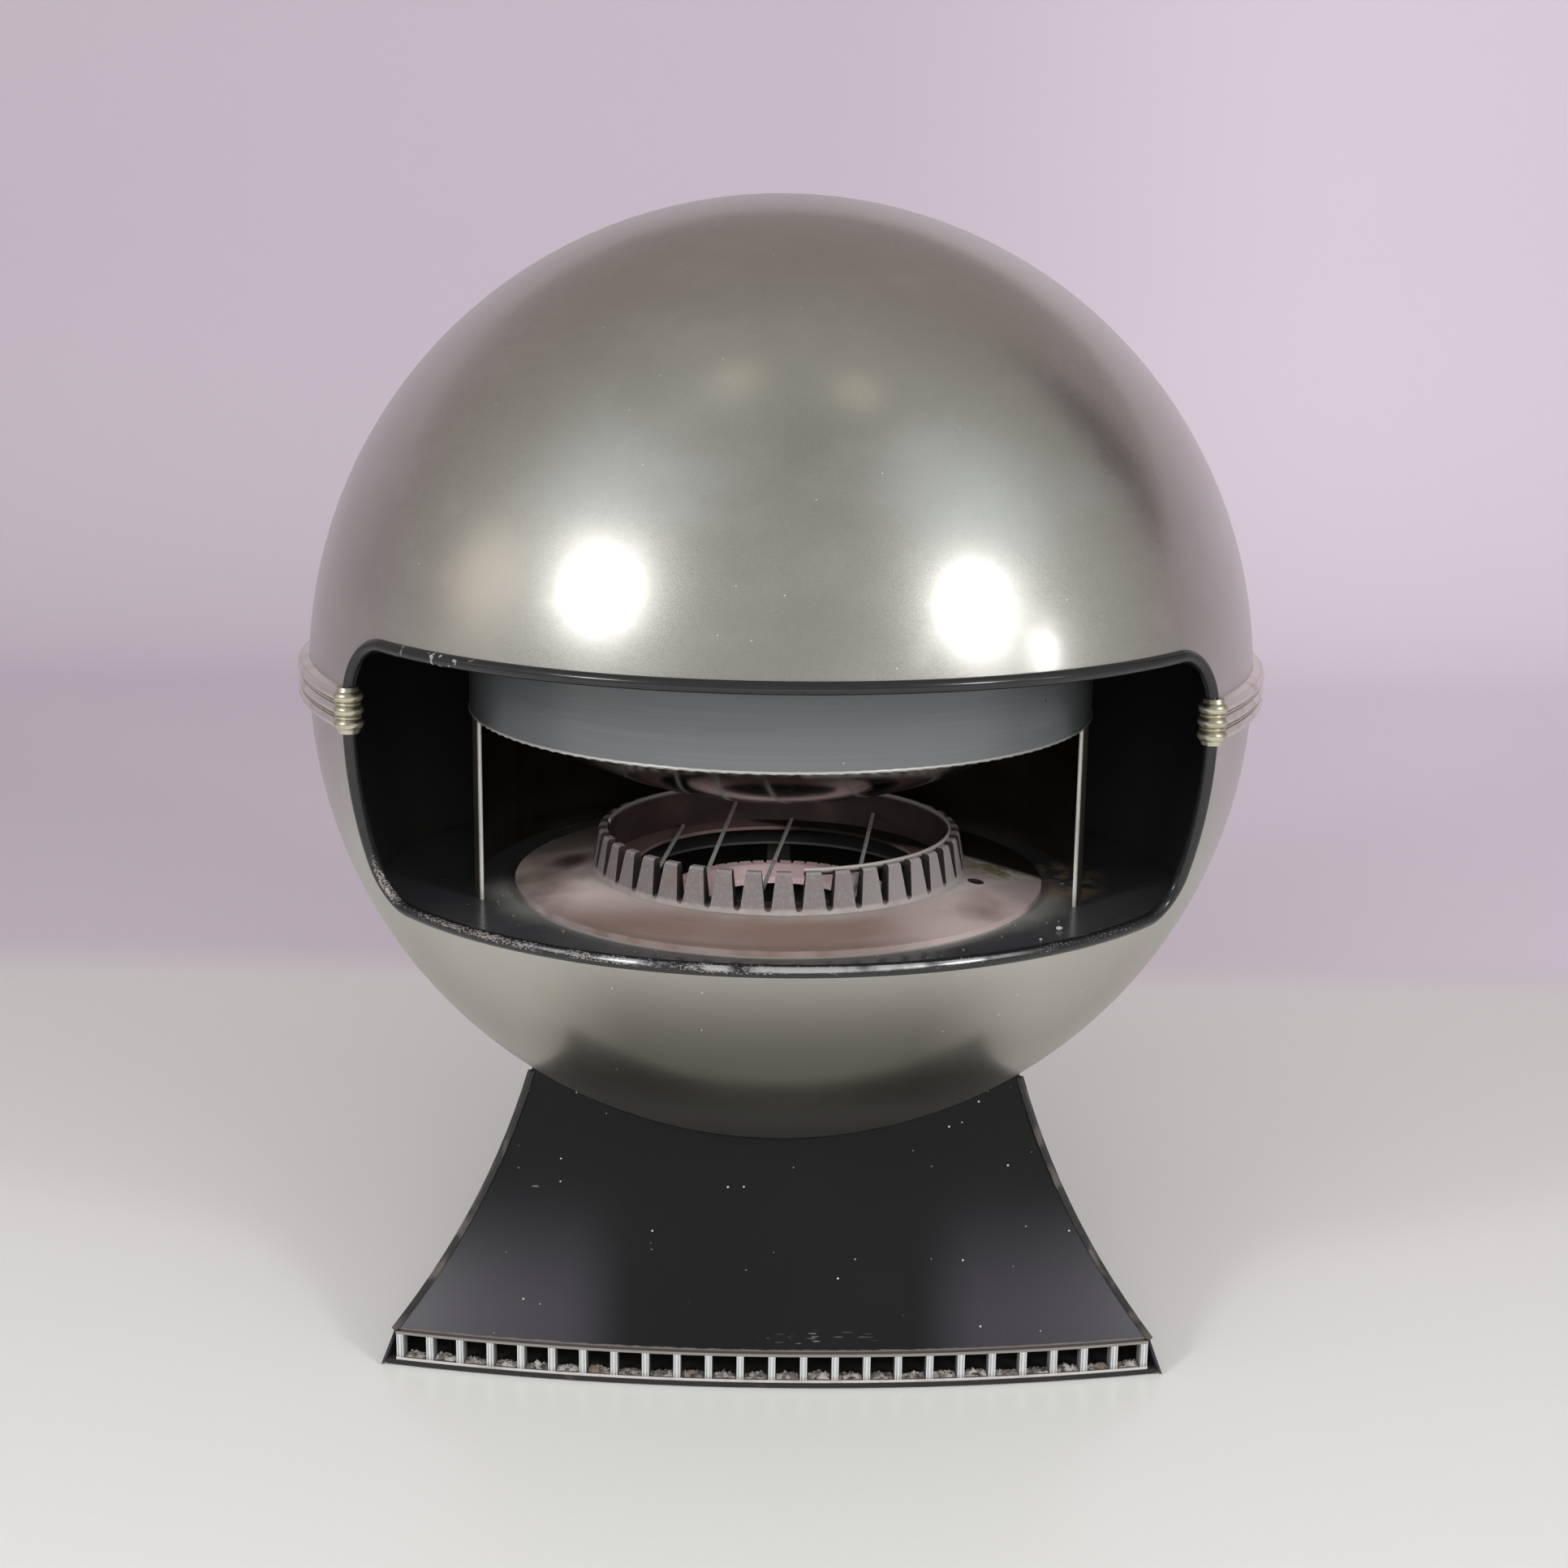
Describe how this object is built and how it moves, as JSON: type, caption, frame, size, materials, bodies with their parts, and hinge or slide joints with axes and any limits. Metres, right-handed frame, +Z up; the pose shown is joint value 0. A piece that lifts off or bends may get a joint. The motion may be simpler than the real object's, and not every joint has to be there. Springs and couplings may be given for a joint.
{
  "type": "gas space heater",
  "caption": "Free-standing ball-shaped gas fire: brushed metal ball with a wide fire mouth, toothed burner crown under a hood, on a flared three-sided black base with an air grille.",
  "frame": {"origin": "on the floor below the centre of the ball", "axes": "+Z up, fire mouth facing -Y, flue spigot pointing +Y, +X to the right seen from the front"},
  "size_m": [0.6848, 0.6777, 0.807],
  "materials": {
    "ball_metal": "satin brushed champagne-grey sheet",
    "trim_metal": "satin drawn moulding",
    "cap_brass": "pale polished brass",
    "black_edge": "satin black, worn to bare metal at the bottom",
    "black_gloss": "gloss black stove enamel, dusty",
    "black_satin": "satin black lacquer",
    "hood_grey": "satin blue-grey stove lacquer",
    "polished_steel": "polished, browned by heat",
    "burner_enamel": "matte brown-pink enamel, dusty",
    "crown_iron": "bare grey casting, dusty",
    "burner_iron": "oxidised casting",
    "bright_wire": "bright drawn wire",
    "plain_steel": "plain zinc-plated steel",
    "flue_steel": "matte black flue lacquer",
    "grille_aluminium": "bright ribbed extrusion",
    "plate_aluminium": "satin anodised",
    "gas_brass": "machined brass",
    "gas_copper": "drawn copper pipe",
    "valve_metal": "die-cast",
    "white_ceramic": "unglazed white ceramic",
    "lead_rubber": "silicone sleeve",
    "knob_plastic": "fine-grained black moulding",
    "button_plastic": "red moulding",
    "foot_rubber": "matte black pad"
  },
  "bodies": {
    "heater": {"upper_shell": "ball_metal", "lower_shell": "ball_metal", "mouth_bead": "black_edge", "trim_band": "trim_metal", "trim_cap_left": "cap_brass", "trim_cap_right": "cap_brass", "joint_ring": "plain_steel", "joint_screws": "plain_steel", "hearth_floor": "black_gloss", "hearth_brackets": "plain_steel", "burner_plate": "burner_enamel", "flame_crown": "crown_iron", "crown_liner": "burner_enamel", "grate_wires": "bright_wire", "reflector": "polished_steel", "hood": "hood_grey", "hood_brackets": "plain_steel", "deflector_bowl": "polished_steel", "bowl_hangers": "plain_steel", "flue_pipe": "flue_steel", "flue_collar": "flue_steel", "flue_spigot": "flue_steel", "burner_cap": "burner_iron", "burner_pan": "burner_iron", "burner_hangers": "plain_steel", "venturi": "plain_steel", "injector": "gas_brass", "pilot_bracket": "plain_steel", "pilot_burner": "gas_brass", "thermocouple": "gas_copper", "spark_electrode": "white_ceramic", "front_panel": "black_satin", "right_rear_panel": "black_satin", "left_rear_panel": "black_satin", "corner_strips": "black_satin", "base_tray": "black_satin", "feet": "foot_rubber", "grille_rails": "grille_aluminium", "grille_slats": "grille_aluminium", "saddle_ring": "plain_steel", "saddle_legs": "plain_steel", "control_plate": "plate_aluminium", "gas_valve": "valve_metal", "valve_bracket": "plain_steel", "igniter_body": "knob_plastic", "inlet_pipe": "gas_copper", "inlet_union": "gas_brass", "supply_pipe": "gas_copper", "pilot_pipe": "gas_copper", "thermocouple_lead": "gas_copper", "ignition_lead": "lead_rubber"},
    "plunger": {"safety_plunger": "gas_brass"},
    "knob": {"valve_spindle": "gas_brass", "control_knob": "knob_plastic"},
    "igniter_button": {"igniter_button": "button_plastic"}
  },
  "joints": [
    {"name": "knob_push", "type": "slide", "parent": "heater", "child": "plunger", "axis": [-0.803, -0.4636, -0.3746], "range_m": [0, 0.004], "stiffness_N_per_m": 600, "springref_m": -0.002},
    {"name": "knob_turn", "type": "hinge", "parent": "plunger", "child": "knob", "pos_m": [0.12671, 0.07316, 0.092], "axis": [0.803, 0.4636, 0.3746], "range_deg": [0, 270]},
    {"name": "igniter_press", "type": "slide", "parent": "heater", "child": "igniter_button", "axis": [-0.803, -0.4636, -0.3746], "range_m": [0, 0.005], "stiffness_N_per_m": 900, "springref_m": -0.002}
  ]
}
